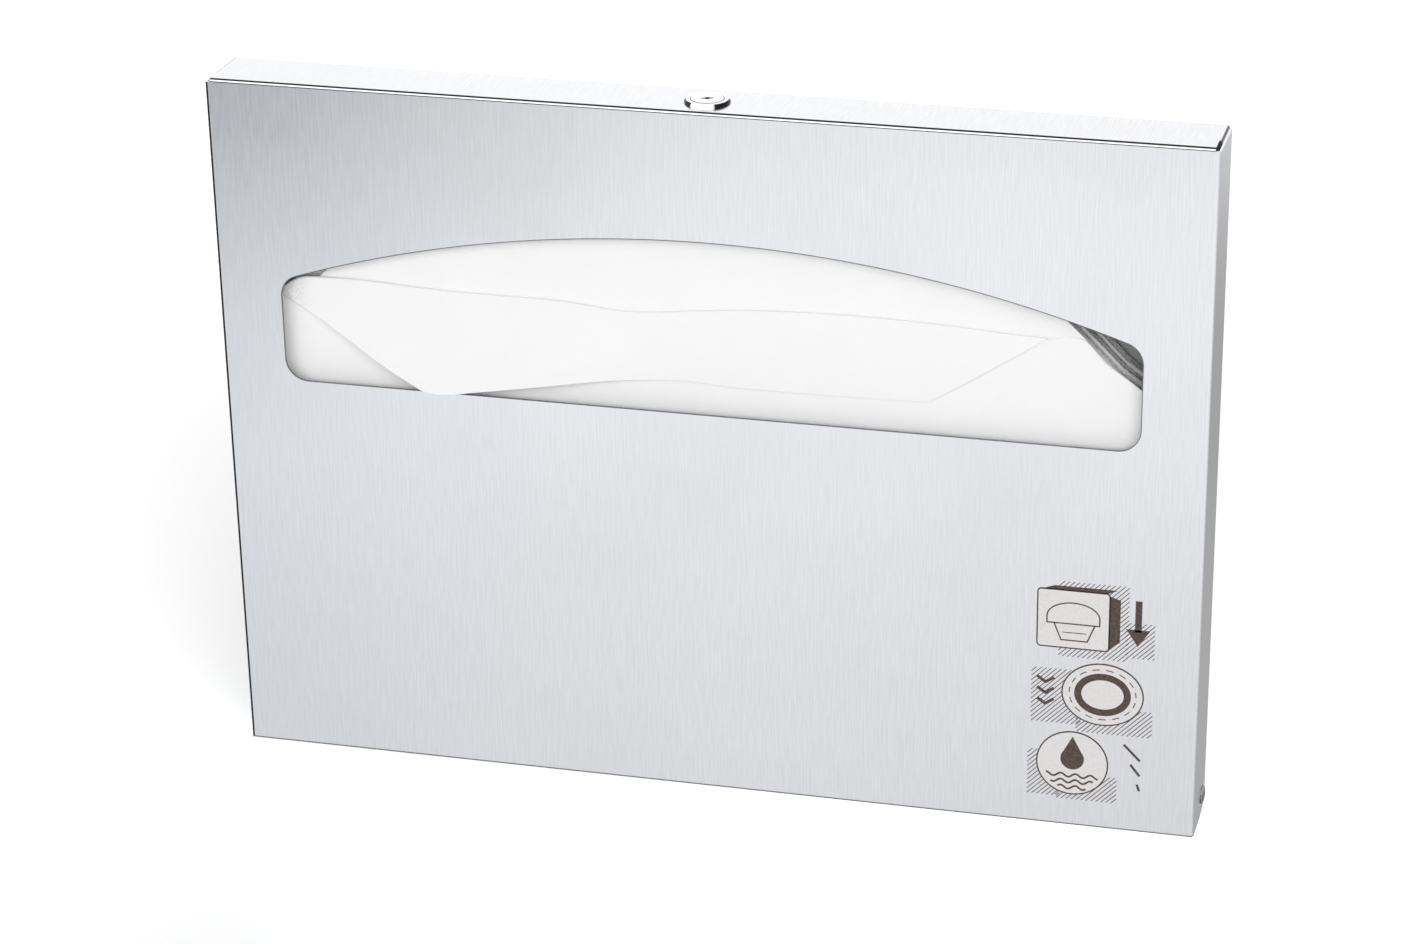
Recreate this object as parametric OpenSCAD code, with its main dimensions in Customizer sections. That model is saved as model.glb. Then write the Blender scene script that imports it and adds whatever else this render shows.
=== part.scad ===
// Toilet seat cover dispenser for a wall: a folded stainless cover that tilts
// forward on two rivets over a wall tray, with a cam lock on top and a pack of
// half-folded paper seat covers inside. Millimetres. X runs across, the front
// faces -Y, the wall is the plane Y = 0, and Z is up. The origin is the centre
// of the four wall holes.

/* [Seat covers] */
// Width of a folded seat cover
paper_w = 368; // [340:1:400]
// Height of a folded seat cover
paper_h = 261; // [235:1:290]
// Length of each clipped corner
paper_clip = 75; // [66:1:85]
// Room left and right of the pack in the tray
side_room = 21.8; // [18:0.1:30]
// Room from the pack up to the cover's top
head_room = 39.1; // [30:0.1:60]
// Number of bundles that show in the pack's edges
bundles = 9; // [5:1:12]
// Most that a bundle lies out of line
bundle_shift = 0.8; // [0.1:0.1:1.2]

/* [Cover] */
// Depth from the wall to the front face
cover_d = 31; // [30:0.5:45]
// Thickness of the stainless sheet
sheet_t = 0.9; // [0.7:0.1:1.2]
// Inside radius of the folds
fold_r = 0.5; // [0.3:0.1:1]
// Gap between the wall and the cover's rear edges
rear_gap = 0.5; // [0.3:0.1:1.5]
// Height of the top panel's downturned end tabs
tab_h = 12; // [6:1:14]
// Length of the open slit at each top front corner
slit_l = 9; // [4:1:14]
// Width of that slit
slit_w = 1.3; // [1:0.1:2]
// How far in front of the hinge line the flanges' lower edge starts to rise
corner_run = 5; // [4:0.5:8]

/* [Window] */
// Width of the steel left and right of the window
window_margin = 27.5; // [26:0.5:36]
// Drop from the pack's top to the window's straight lower edge
window_drop = 90.5; // [84:0.1:96]
// Height of the window in the middle
window_h = 75; // [73:1:85]
// Radius of the arched upper edge
arch_r = 550; // [500:10:800]
// Radius of the window's corners
window_r = 9.5; // [6:0.5:14]

/* [Wall tray] */
// Gap between each cover flange and the tray's flange inside it
tray_gap = 1.4; // [1.2:0.1:2.5]
// Gap between the cover's front face and the tray's side flanges
tray_side_gap = 9; // [7:0.5:13]
// Drop from the cover's top to the top of the tray's side flanges
tray_side_drop = 20; // [16:1:80]
// Gap between the top panel and the tray's top flange
top_gap = 3.2; // [2:0.1:5]
// Gap between the lock's axis and the top flange's front edge
top_flange_gap = 6; // [5:0.5:10]
// Room that the notch in the top flange leaves round the lock
notch_room = 2; // [1:0.5:4]
// Height of the shelf's upturned front lip
lip_h = 12; // [6:1:20]
// Gap between the lip and the cover's front
lip_gap = 3.8; // [3:0.1:6]
// Spacing of the wall holes across
hole_dx = 320; // [200:1:360]
// Spacing of the wall holes in height
hole_dz = 190; // [120:1:230]
// Height of the hole pattern's centre over the cover's lower edge
hole_z = 150; // [130:1:170]
// Diameter of a wall hole
hole_d = 6.5; // [4.5:0.5:8]

/* [Hinge] */
// Distance of the hinge line from the wall
pivot_back = 8.5; // [7.5:0.5:10]
// Height of the hinge line over the cover's lower edge
pivot_z = 9; // [8:0.5:11]
// Diameter of the rivet's shoulder
rivet_d = 5; // [3.5:0.5:5.5]
// Diameter of the rivet's head
rivet_head_d = 8.3; // [7.5:0.1:10]
// Height of the rivet's head
rivet_head_h = 1.2; // [1:0.1:1.8]
// Height of the straight rim under the head's dome
rivet_rim_h = 0.5; // [0.3:0.1:0.7]
// Diameter of the clinched end
rivet_tail_d = 7.4; // [6.6:0.1:8]
// Thickness of the clinched end
rivet_tail_h = 1; // [0.6:0.1:1.4]
// Radial clearance of turning parts in their holes
running_fit = 0.06; // [0.02:0.01:0.1]
// Play between faces that turn on each other
end_play = 0.1; // [0.05:0.01:0.2]

/* [Lock] */
// Distance of the lock's axis behind the front face
lock_in = 14.6; // [11.5:0.1:15.5]
// Diameter of the lock's head
lock_head_d = 18.9; // [17:0.1:20]
// Height of the lock's head
lock_head_h = 1.4; // [1.2:0.1:3]
// Diameter of the plug's face
plug_face_d = 13.4; // [11.5:0.1:14]
// Diameter of the lock's barrel
barrel_d = 14; // [12.5:0.5:14.5]
// Width over the barrel's two flats
barrel_flats = 12.6; // [11.5:0.1:13]
// Length of the barrel under the head
barrel_l = 14; // [11:0.5:15]
// Diameter of the plug's shank
plug_d = 9; // [7:0.1:9.6]
// Width over the nut's flats
nut_af = 17; // [16:0.5:18]
// Thickness of the nut
nut_t = 3.5; // [2.5:0.1:4]
// Thickness of the washer under the top panel
lock_washer_t = 0.8; // [0.5:0.1:1.2]
// Gap between the end of the open cam and the back plate
cam_back_gap = 3.1; // [1:0.1:5]
// Width of the cam
cam_w = 8; // [7:0.5:9]
// Thickness of the cam
cam_t = 1.5; // [1:0.1:2]
// Width over the plug's square end
square_w = 4; // [3.6:0.1:4.4]
// Diameter of the cam screw's thread
cam_screw_d = 2.5; // [2:0.1:3]
// Diameter of the cam screw's head
cam_head_d = 5.4; // [5:0.1:6.6]
// Height of the cam screw's head
cam_head_h = 1.8; // [1.5:0.1:2.2]
// Thickness of the washer under that head
cam_washer_t = 0.5; // [0.3:0.1:0.8]
// Length of the cam screw's thread in the plug
screw_l = 6; // [4:0.5:7]
// Diameter of the key hole's round middle
key_hole_d = 2.6; // [2:0.1:3.4]
// Length of the key hole across its two wings
key_wing_l = 4.8; // [4:0.1:6]
// Width of the key hole's wings
key_wing_w = 1.1; // [0.8:0.1:1.4]
// Depth of the key hole
key_depth = 8; // [4:0.5:10]

/* [Catch bracket] */
// Thickness of the bracket
catch_t = 1.2; // [1:0.1:1.6]
// Inside radius of the bracket's folds
catch_r = 0.8; // [0.4:0.1:1.2]
// Length of the bracket's foot on the back plate
catch_foot_l = 14; // [10:1:20]
// Height of the bracket
catch_h = 9; // [6:0.5:14]
// Clearance between the turned cam and the bracket
catch_play = 1.2; // [0.8:0.1:2]
// How far the bracket's lip reaches over the turned cam
catch_hold = 5; // [3:0.5:6]

/* [Drawn sheet] */
// Clearance between the pack and the drawn sheet
pack_gap = 0.3; // [0.2:0.1:0.6]
// Thickness of the drawn sheet's two plies
ply_t = 0.5; // [0.4:0.1:0.7]
// How far the drawn sheet lies to the left of the pack
sheet_shift = 19; // [12:0.5:20]
// Height of the drawn sheet's free edge over the window's lower edge
free_rise = 7.4; // [7:0.1:9]
// Slope of the drawn sheet's crease
crease_tilt = 1.6; // [0.5:0.1:1.8]
// Gap in front of the cover to the hanging flap
flap_gap = 1.5; // [1:0.1:2.5]
// Gap behind the cover to the standing sheet
behind_gap = 3.6; // [2.5:0.1:3.8]
// How far the flap bellies out
belly = 1.8; // [0.5:0.1:3]
// Clearance of the drawn sheet in the window, left and right
pass_gap = 1; // [0.5:0.1:2]

/* [Hidden] */

$fn = 64;
over = 1;
fold_out = fold_r + sheet_t;

// Seat covers
paper_half = paper_w / 2;
shelf_z = sheet_t;
paper_top = shelf_z + paper_h;

// Cover
cover_w = paper_w + 2 * (side_room + tray_gap + 2 * sheet_t);
cover_h = sheet_t + paper_h + head_room;
cover_y = -cover_d;
cover_rear_y = -rear_gap;
flange_top = cover_h - fold_out;
half_w = cover_w / 2;
far = 3 * cover_w;
inner_half_w = half_w - sheet_t;
tab_front_y = cover_y + fold_out + slit_l;
slit_x = inner_half_w - slit_w;
swing_r = pivot_back - rear_gap;

// Window
window_low = paper_top - window_drop;
window_w = cover_w - 2 * window_margin;
arch_z = window_low + window_h - arch_r;
window_side = window_w / 2 - window_r;
window_shoulder = arch_z + sqrt(pow(arch_r - window_r, 2) - pow(window_side, 2));

// Tray
tray_half_w = inner_half_w - tray_gap;
tray_inner_w = tray_half_w - sheet_t;
lip_y = cover_y + sheet_t + lip_gap;
tray_top = cover_h - sheet_t - top_gap;
tray_side_d = cover_d - tray_side_gap;
spacer_t = tray_gap - end_play;
spacer_d = (rivet_head_d + rivet_tail_d) / 2;

// Lock, with heights counted from the cover's lower edge
lock_y = cover_y + lock_in;
panel_under = cover_h - sheet_t;
barrel_end = cover_h - barrel_l;
recess_d = plug_face_d + 4 * running_fit;
recess_h = 0.7 * lock_head_h;
bevel_h = 0.6 * lock_head_h;
bevel_in = 0.55 * lock_head_h;
nut_corner = nut_af / 2 / cos(30);
top_flange_d = -lock_y - top_flange_gap;
notch_y = lock_y + nut_corner + notch_room;
cam_l = -lock_y - sheet_t - cam_back_gap;
cam_top = barrel_end - end_play;
cam_under = cam_top - cam_t;
cam_washer_d = cam_head_d + 2 * cam_washer_t;
cam_slot_w = cam_head_d / 8;
cam_chamfer = cam_head_h / 3;

// Catch bracket
catch_x = -norm([cam_l, cam_w / 2]) - catch_play;
catch_lip_y = lock_y - cam_w / 2 - catch_play;

// Pack
pack_front_y = lip_y + sheet_t + fold_r + ply_t + pack_gap;
pack_rear_y = -sheet_t - fold_r;
bundle_t = (pack_rear_y - pack_front_y) / bundles;
bundle_angle = 137;

// Drawn sheet: a standing part, half a turn at the crease and a hanging flap
stand_low_y = pack_front_y - pack_gap - ply_t / 2;
stand_y = cover_y + sheet_t + behind_gap;
flap_y = cover_y - flap_gap;
crease_r = (stand_y - flap_y) / 2;
crease_arc = crease_r * PI;
crease_z = (window_low + free_rise + paper_top - crease_arc) / 2;
flap_l = paper_top - crease_z - crease_arc;
sheet_steps = 12;

// Band of one thickness along a line of [y, z] points
function unit(v) = v / norm(v);
function along(p, i) = unit(p[min(i + 1, len(p) - 1)] - p[max(i - 1, 0)]);
function side(p, i, d) = p[i] + d * [-along(p, i)[1], along(p, i)[0]];
function band(p, t) = concat(
    [for (i = [0 : len(p) - 1]) side(p, i, t / 2)],
    [for (i = [len(p) - 1 : -1 : 0]) side(p, i, -t / 2)]);

// Smooth step from 0 to 1
function ease(u) = (1 - cos(180 * u)) / 2;

module at_wall_holes() {
    translate([0, 0, -hole_z]) children();
}

// Extrusion of an outline drawn in X and Z, from y0 to y1
module slab_y(y0, y1) {
    translate([0, y1, 0]) rotate([90, 0, 0]) linear_extrude(height = y1 - y0) children();
}

// Extrusion of an outline drawn in Y and Z, from x0 to x1
module slab_x(x0, x1) {
    translate([x0, 0, 0]) rotate([90, 0, 90]) linear_extrude(height = x1 - x0) children();
}

// L of folded sheet in a plane: one leg down from the corner, one leg to the side
module folded_corner(leg_down, leg_side, t, r) {
    difference() {
        union() {
            translate([0, -leg_down]) square([t, leg_down - t - r]);
            translate([t + r, -t]) square([leg_side - t - r, t]);
            translate([t + r, -t - r]) circle(r = t + r);
        }
        translate([t + r, -t - r]) circle(r = r);
        translate([t + r, -leg_down]) square([leg_side, leg_down - t]);
        translate([t, -leg_down - over]) square([t + leg_side, leg_down - t - r + over]);
    }
}

// Window: an arch over a straight sill, with round corners where they meet
module window_outline() {
    intersection() {
        translate([0, arch_z]) circle(r = arch_r, $fn = 180);
        polygon([[0, arch_z],
                 [far * window_side, arch_z + far * (window_shoulder - arch_z)],
                 [-far * window_side, arch_z + far * (window_shoulder - arch_z)]]);
        translate([-half_w, window_low]) square([cover_w, cover_h]);
    }
    translate([-window_side, window_low]) square([2 * window_side, window_shoulder - window_low]);
    translate([-window_w / 2, window_low + window_r])
        square([window_w, window_shoulder - window_low - window_r]);
    for (x = [-window_side, window_side])
        for (z = [window_low + window_r, window_shoulder])
            translate([x, z]) circle(r = window_r);
}

// Plan of the front with both side flanges folded back
module cover_plan() {
    depth = cover_d - rear_gap;
    for (s = [0, 1]) mirror([s, 0]) translate([-half_w, cover_y]) mirror([0, 1])
        folded_corner(depth, half_w, sheet_t, fold_r);
}

// Rear lower corner of a side flange, cut away so that it clears the wall as
// the cover tilts: round about the hinge line, then straight to the lower edge
module corner_cut() {
    pivot = [-pivot_back, pivot_z];
    start = [-pivot_back - corner_run, 0];
    angle = atan2(-pivot_z, -corner_run) + acos(swing_r / norm(start - pivot));
    touch = pivot + swing_r * [cos(angle), sin(angle)];
    difference() {
        translate([start[0], -over]) square([pivot_back + corner_run + over, pivot_z + over]);
        translate(pivot) circle(r = swing_r);
        polygon([start, touch, pivot, [start[0], pivot_z]]);
    }
}

// Section of the front folded over into the top panel
module cover_side_section() {
    translate([cover_y, cover_h])
        folded_corner(cover_h - window_low, cover_d - rear_gap, sheet_t, fold_r);
}

// Top panel with its end tabs folded down inside the flanges
module top_with_tabs() {
    for (s = [0, 1]) mirror([s, 0]) translate([-inner_half_w, cover_h])
        folded_corner(tab_h, inner_half_w, sheet_t, fold_r);
}

// Hole for the lock's barrel with its two flats
module barrel_outline(gap) {
    intersection() {
        circle(d = barrel_d + 2 * gap);
        square([barrel_flats + 2 * gap, far], center = true);
    }
}

module front_cover() {
    color("silver") at_wall_holes() difference() {
        union() {
            linear_extrude(height = flange_top) cover_plan();
            slab_x(-slit_x, slit_x) cover_side_section();
            slab_y(tab_front_y, cover_rear_y) top_with_tabs();
        }
        slab_y(cover_y - over, cover_y + sheet_t + over) window_outline();
        slab_x(-half_w - over, half_w + over) corner_cut();
        for (x = [-half_w - over, inner_half_w - over])
            translate([x, -pivot_back, pivot_z]) rotate([0, 90, 0])
                cylinder(d = rivet_d + 2 * running_fit, h = sheet_t + 2 * over);
        translate([0, lock_y, panel_under - over])
            linear_extrude(height = sheet_t + 2 * over) barrel_outline(running_fit);
    }
}

module wall_tray() {
    color("lightgray") at_wall_holes() difference() {
        union() {
            // Back plate
            translate([-tray_half_w + fold_out, -sheet_t, fold_out])
                cube([2 * (tray_half_w - fold_out), sheet_t, tray_top - 2 * fold_out]);
            // Side flanges
            translate([0, 0, fold_out]) linear_extrude(height = cover_h - tray_side_drop - fold_out)
                for (s = [0, 1]) mirror([s, 0]) translate([-tray_half_w, 0])
                    folded_corner(tray_side_d, fold_out + over, sheet_t, fold_r);
            // Bottom shelf with its upturned lip
            slab_x(-tray_inner_w + fold_r, tray_inner_w - fold_r) tray_shelf_section();
            // Top flange
            slab_x(-tray_inner_w + fold_r, tray_inner_w - fold_r)
                translate([0, tray_top]) mirror([1, 0])
                    folded_corner(fold_out + over, top_flange_d, sheet_t, fold_r);
        }
        translate([-nut_corner - notch_room, -top_flange_d - over, tray_top - fold_out])
            cube([2 * (nut_corner + notch_room), notch_y + top_flange_d + over, fold_out + over]);
        for (x = [-1, 1]) for (z = [-1, 1])
            translate([x * hole_dx / 2, over, hole_z + z * hole_dz / 2]) rotate([90, 0, 0])
                cylinder(d = hole_d, h = sheet_t + 2 * over);
        for (x = [-tray_half_w - over, tray_inner_w - over])
            translate([x, -pivot_back, pivot_z]) rotate([0, 90, 0])
                cylinder(d = rivet_d + running_fit, h = sheet_t + 2 * over);
    }
}

// Shelf folded forward from the back plate and up into the lip
module tray_shelf_section() {
    mirror([1, 0]) mirror([0, 1]) folded_corner(fold_out + over, -lip_y - fold_out, sheet_t, fold_r);
    translate([lip_y, 0]) mirror([0, 1])
        folded_corner(lip_h, fold_out + over, sheet_t, fold_r);
}

// Strip folded twice: a foot on the back plate, a web beside the cam's sweep
// and a lip that the turned cam lies behind
module catch_bracket() {
    depth = -sheet_t - catch_lip_y + catch_t;
    color("lightgray") at_wall_holes() translate([catch_x, 0, cam_top - catch_h])
        linear_extrude(height = catch_h) {
            translate([0, -sheet_t]) mirror([1, 0])
                folded_corner(depth / 2 + over, catch_foot_l, catch_t, catch_r);
            translate([-catch_t, -sheet_t - depth]) mirror([0, 1])
                folded_corner(depth / 2, catch_hold + catch_play + catch_t, catch_t, catch_r);
        }
}

// Lock body: head with a bevelled rim, recess for the plug's face, barrel
module lock_housing() {
    r = lock_head_d / 2;
    color("gainsboro") at_wall_holes() translate([0, lock_y, cover_h]) difference() {
        union() {
            rotate_extrude() polygon([[0, 0], [r, 0], [r, lock_head_h - bevel_h],
                                      [r - bevel_in, lock_head_h], [0, lock_head_h]]);
            translate([0, 0, -barrel_l]) linear_extrude(height = barrel_l + lock_head_h / 2)
                barrel_outline(0);
        }
        translate([0, 0, lock_head_h - recess_h]) cylinder(d = recess_d, h = recess_h + over);
        translate([0, 0, -barrel_l - over])
            cylinder(d = plug_d + 2 * running_fit, h = barrel_l + lock_head_h + 2 * over);
    }
}

// Key plug: face, shank and the square end that drives the cam
module lock_plug() {
    face_low = lock_head_h - recess_h + end_play;
    color("gainsboro") at_wall_holes() translate([0, lock_y, cover_h]) difference() {
        union() {
            translate([0, 0, face_low]) cylinder(d = plug_face_d, h = recess_h);
            translate([0, 0, -barrel_l]) cylinder(d = plug_d, h = barrel_l + face_low + end_play);
            translate([-square_w / 2, -square_w / 2, cam_under - cover_h])
                cube([square_w, square_w, cam_t + 2 * end_play]);
        }
        translate([0, 0, face_low + recess_h - key_depth]) linear_extrude(height = key_depth + over) {
            circle(d = key_hole_d);
            rotate(20) square([key_wing_l, key_wing_w], center = true);
        }
        translate([0, 0, cam_under - cover_h - over]) cylinder(d = cam_screw_d, h = screw_l + over);
    }
}

module lock_washer() {
    color("silver") at_wall_holes() translate([0, lock_y, panel_under - lock_washer_t])
        difference() {
            cylinder(d = nut_af, h = lock_washer_t);
            translate([0, 0, -over])
                cylinder(d = barrel_d + 2 * running_fit, h = lock_washer_t + 2 * over);
        }
}

module lock_nut() {
    color("silver") at_wall_holes() translate([0, lock_y, panel_under - lock_washer_t - nut_t])
        difference() {
            intersection() {
                rotate(30) cylinder(r = nut_corner, h = nut_t, $fn = 6);
                rotate_extrude() polygon([[0, 0], [nut_af / 2, 0],
                                          [nut_corner, (nut_corner - nut_af / 2) / 2],
                                          [nut_corner, nut_t], [0, nut_t]]);
            }
            translate([0, 0, -over]) cylinder(d = barrel_d + 2 * running_fit, h = nut_t + 2 * over);
        }
}

// Flat cam, turned to the rear when the lock is open
module lock_cam() {
    color("silver") at_wall_holes() translate([0, lock_y, cam_under]) difference() {
        linear_extrude(height = cam_t) {
            circle(d = cam_w);
            translate([-cam_w / 2, 0]) square([cam_w, cam_l - cam_w / 4]);
            translate([-cam_w / 4, 0]) square([cam_w / 2, cam_l]);
            for (x = [-1, 1]) translate([x * cam_w / 4, cam_l - cam_w / 4]) circle(d = cam_w / 2);
        }
        translate([0, 0, cam_t / 2])
            cube([square_w + 2 * running_fit, square_w + 2 * running_fit, cam_t + 2 * over],
                 center = true);
    }
}

module cam_lock_washer() {
    color("silver") at_wall_holes() translate([0, lock_y, cam_under - cam_washer_t]) difference() {
        cylinder(d = cam_washer_d, h = cam_washer_t);
        translate([0, 0, -over])
            cylinder(d = cam_screw_d + 2 * running_fit, h = cam_washer_t + 2 * over);
    }
}

module cam_screw() {
    head_z = cam_under - cam_washer_t - cam_head_h;
    color("silver") at_wall_holes() translate([0, lock_y, head_z]) difference() {
        union() {
            rotate_extrude() polygon([[0, 0], [cam_head_d / 2 - cam_chamfer, 0],
                                      [cam_head_d / 2, cam_chamfer], [cam_head_d / 2, cam_head_h],
                                      [0, cam_head_h]]);
            cylinder(d = cam_screw_d - running_fit,
                     h = cam_head_h + cam_washer_t + screw_l - end_play);
        }
        for (a = [0, 90]) rotate(a)
            translate([-cam_head_d / 3, -cam_slot_w / 2, -over])
                cube([cam_head_d * 2 / 3, cam_slot_w, cam_head_h / 2 + over]);
    }
}

// Shouldered rivet on the right: domed head outside, clinched end in the tray
module hinge_rivet() {
    r = rivet_head_d / 2;
    crown = rivet_head_h - rivet_rim_h;
    dome_r = (pow(r, 2) + pow(crown, 2)) / (2 * crown);
    stem = sheet_t + tray_gap + sheet_t + end_play;
    translate([tray_inner_w, -pivot_back, pivot_z]) rotate([0, 90, 0]) {
        cylinder(d = rivet_d, h = stem + rivet_rim_h);
        translate([0, 0, -rivet_tail_h]) cylinder(d = rivet_tail_d, h = rivet_tail_h);
        translate([0, 0, stem]) intersection() {
            cylinder(d = rivet_head_d, h = rivet_head_h);
            translate([0, 0, rivet_head_h - dome_r]) sphere(r = dome_r);
        }
    }
}

module hinge_spacer() {
    translate([tray_half_w, -pivot_back, pivot_z]) rotate([0, 90, 0]) difference() {
        cylinder(d = spacer_d, h = spacer_t);
        translate([0, 0, -over]) cylinder(d = rivet_d + running_fit, h = spacer_t + 2 * over);
    }
}

module hinge_rivet_right() {
    color("gainsboro") at_wall_holes() hinge_rivet();
}

module hinge_rivet_left() {
    color("gainsboro") at_wall_holes() mirror([1, 0, 0]) hinge_rivet();
}

module hinge_spacer_right() {
    color("white") at_wall_holes() hinge_spacer();
}

module hinge_spacer_left() {
    color("white") at_wall_holes() mirror([1, 0, 0]) hinge_spacer();
}

// Outline of a half-folded seat cover with its two upper corners clipped
module paper_outline(slip) {
    clip = paper_clip + slip;
    top = paper_top - slip / 2;
    polygon([[-paper_half, shelf_z], [paper_half, shelf_z], [paper_half, top - clip],
             [paper_half - clip, top], [-paper_half + clip, top], [-paper_half, top - clip]]);
}

// Pack of seat covers, its bundles a little out of line where their edges show
module seat_cover_pack() {
    color("ivory") at_wall_holes() {
        slab_y(pack_front_y, pack_rear_y) paper_outline(bundle_shift);
        for (i = [0 : 2 : bundles - 1])
            slab_y(pack_front_y + i * bundle_t, pack_front_y + (i + 1) * bundle_t)
                paper_outline(bundle_shift * sin(i * bundle_angle) / 2);
    }
}

// Standing part of the drawn sheet, easing forward to its crease
function standing_line() = [for (i = [0 : sheet_steps])
    let (u = i / sheet_steps)
    [stand_low_y + (stand_y - stand_low_y) * ease(u), -crease_z * (1 - u)]];

// Half a turn forward over the crease
function crease_line() = [for (i = [1 : sheet_steps - 1])
    let (a = 180 * i / sheet_steps)
    [stand_y - crease_r * (1 - cos(a)), crease_r * sin(a)]];

// Flap that hangs from the crease and bellies out
function flap_line() = [for (i = [0 : sheet_steps])
    let (u = i / sheet_steps)
    [flap_y - belly * sin(180 * u), -(flap_l + over) * u]];

// The first seat cover, folded forward over the window's edge
module drawn_sheet() {
    line = concat(standing_line(), crease_line(), flap_line());
    reach = paper_half + sheet_shift;
    pass_left = window_w / 2 - pass_gap - sheet_shift;
    pass_right = window_w / 2 - pass_gap + sheet_shift;
    color("white") at_wall_holes() translate([-sheet_shift, 0, crease_z]) rotate([0, -crease_tilt, 0])
        intersection() {
            slab_x(-reach, reach) polygon(band(line, ply_t));
            union() {
                slab_y(stand_y - ply_t, 0) sheet_plan();
                intersection() {
                    slab_y(flap_y - belly - ply_t, stand_y + ply_t) flap_plan();
                    slab_y(-far, far) translate([-pass_left, -far])
                        square([pass_left + pass_right, 2 * far]);
                }
            }
        }
}

// Plan of the flat sheet, seen along the crease
module sheet_plan() {
    intersection() {
        rotate(-crease_tilt) translate([0, -crease_z]) paper_outline(0);
        translate([-far, -far]) square([2 * far, far]);
    }
}

// Plan of what hangs over the crease: the sheet's upper end, turned down
module flap_plan() {
    intersection() {
        translate([0, crease_arc]) mirror([0, 1])
            rotate(-crease_tilt) translate([0, -crease_z]) paper_outline(0);
        translate([-far, -far]) square([2 * far, far]);
    }
    intersection() {
        rotate(-crease_tilt) translate([0, -crease_z]) paper_outline(0);
        translate([-far, -over]) square([2 * far, crease_arc]);
    }
}

front_cover();
wall_tray();
catch_bracket();
lock_housing();
lock_plug();
lock_nut();
lock_washer();
lock_cam();
cam_screw();
cam_lock_washer();
hinge_rivet_left();
hinge_rivet_right();
hinge_spacer_left();
hinge_spacer_right();
seat_cover_pack();
drawn_sheet();
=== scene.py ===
import math

import bpy
from mathutils import Matrix, Vector, noise

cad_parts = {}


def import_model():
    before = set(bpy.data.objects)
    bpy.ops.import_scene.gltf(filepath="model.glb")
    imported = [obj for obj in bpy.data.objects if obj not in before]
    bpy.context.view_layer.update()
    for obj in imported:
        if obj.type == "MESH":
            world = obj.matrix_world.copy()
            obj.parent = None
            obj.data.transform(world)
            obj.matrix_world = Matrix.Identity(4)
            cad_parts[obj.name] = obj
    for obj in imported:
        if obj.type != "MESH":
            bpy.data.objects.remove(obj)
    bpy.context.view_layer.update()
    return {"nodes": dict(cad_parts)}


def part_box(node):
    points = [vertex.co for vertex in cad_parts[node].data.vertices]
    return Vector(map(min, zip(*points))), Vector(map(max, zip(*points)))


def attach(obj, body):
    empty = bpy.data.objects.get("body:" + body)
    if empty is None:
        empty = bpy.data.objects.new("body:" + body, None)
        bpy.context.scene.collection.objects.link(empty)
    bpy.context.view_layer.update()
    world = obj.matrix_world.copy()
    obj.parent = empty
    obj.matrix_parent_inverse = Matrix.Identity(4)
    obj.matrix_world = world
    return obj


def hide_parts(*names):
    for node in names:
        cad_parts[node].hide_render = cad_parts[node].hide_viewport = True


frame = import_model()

MM = 0.001
WHITE = (1.0, 1.0, 1.0, 1.0)
WHITE_RADIUS = (1.0, 1.0, 1.0)

# Places that are read from the frame
COVER_LO, COVER_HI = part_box("front_cover")
PACK_LO, PACK_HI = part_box("seat_cover_pack")
SHEET_LO, SHEET_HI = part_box("drawn_sheet")
PLUG_LO, PLUG_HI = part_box("lock_plug")
FRONT_Y = COVER_LO.y
FLOOR_Z = COVER_LO.z


# Shader nodes

def new_material(name):
    """New Principled material: (material, tree, shader)."""
    material = bpy.data.materials.new(name)
    material.use_nodes = True
    tree = material.node_tree
    return material, tree, tree.nodes["Principled BSDF"]


def add(tree, kind, inputs=None, **settings):
    """Adds a node. An input given as a socket is linked, and any other value is set."""
    made = tree.nodes.new(kind)
    for name, value in settings.items():
        setattr(made, name, value)
    for name, value in (inputs or {}).items():
        if isinstance(value, bpy.types.NodeSocket):
            tree.links.new(value, made.inputs[name])
        else:
            made.inputs[name].default_value = value
    return made


def math_node(tree, operation, first, second=0.0):
    """Result of one Math node."""
    return add(tree, "ShaderNodeMath", {0: first, 1: second}, operation=operation).outputs[0]


def times(tree, first, second):
    """Product of two values or sockets."""
    return math_node(tree, "MULTIPLY", first, second)


def plus(tree, first, second):
    """Sum of two values or sockets."""
    return math_node(tree, "ADD", first, second)


def less(tree, share):
    """What is left of 1 after a share."""
    return math_node(tree, "SUBTRACT", 1.0, share)


def larger(tree, first, second):
    """The larger of two values or sockets."""
    return math_node(tree, "MAXIMUM", first, second)


def under(tree, first, second):
    """1 where the first value is under the second, and 0 elsewhere."""
    return math_node(tree, "LESS_THAN", first, second)


def object_place(tree):
    """Place on the piece, in the piece's own axes."""
    return add(tree, "ShaderNodeTexCoord").outputs["Object"]


def vector_node(tree, operation, inputs):
    """One Vector Math node."""
    return add(tree, "ShaderNodeVectorMath", inputs, operation=operation)


def parts_of(tree, vector):
    """The three parts of a vector."""
    parts = add(tree, "ShaderNodeSeparateXYZ", {0: vector})
    return tuple(parts.outputs[axis] for axis in "XYZ")


def ramp(tree, value, low, high, out_low, out_high):
    """Value from low..high mapped to out_low..out_high, and kept in that range."""
    return add(tree, "ShaderNodeMapRange", {
        "Value": value, "From Min": low, "From Max": high,
        "To Min": out_low, "To Max": out_high}).outputs["Result"]


def smooth_ramp(tree, value, low, high, out_low, out_high):
    """As ramp, but eased at both ends."""
    return add(tree, "ShaderNodeMapRange", {
        "Value": value, "From Min": low, "From Max": high,
        "To Min": out_low, "To Max": out_high}, interpolation_type="SMOOTHSTEP").outputs["Result"]


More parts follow.
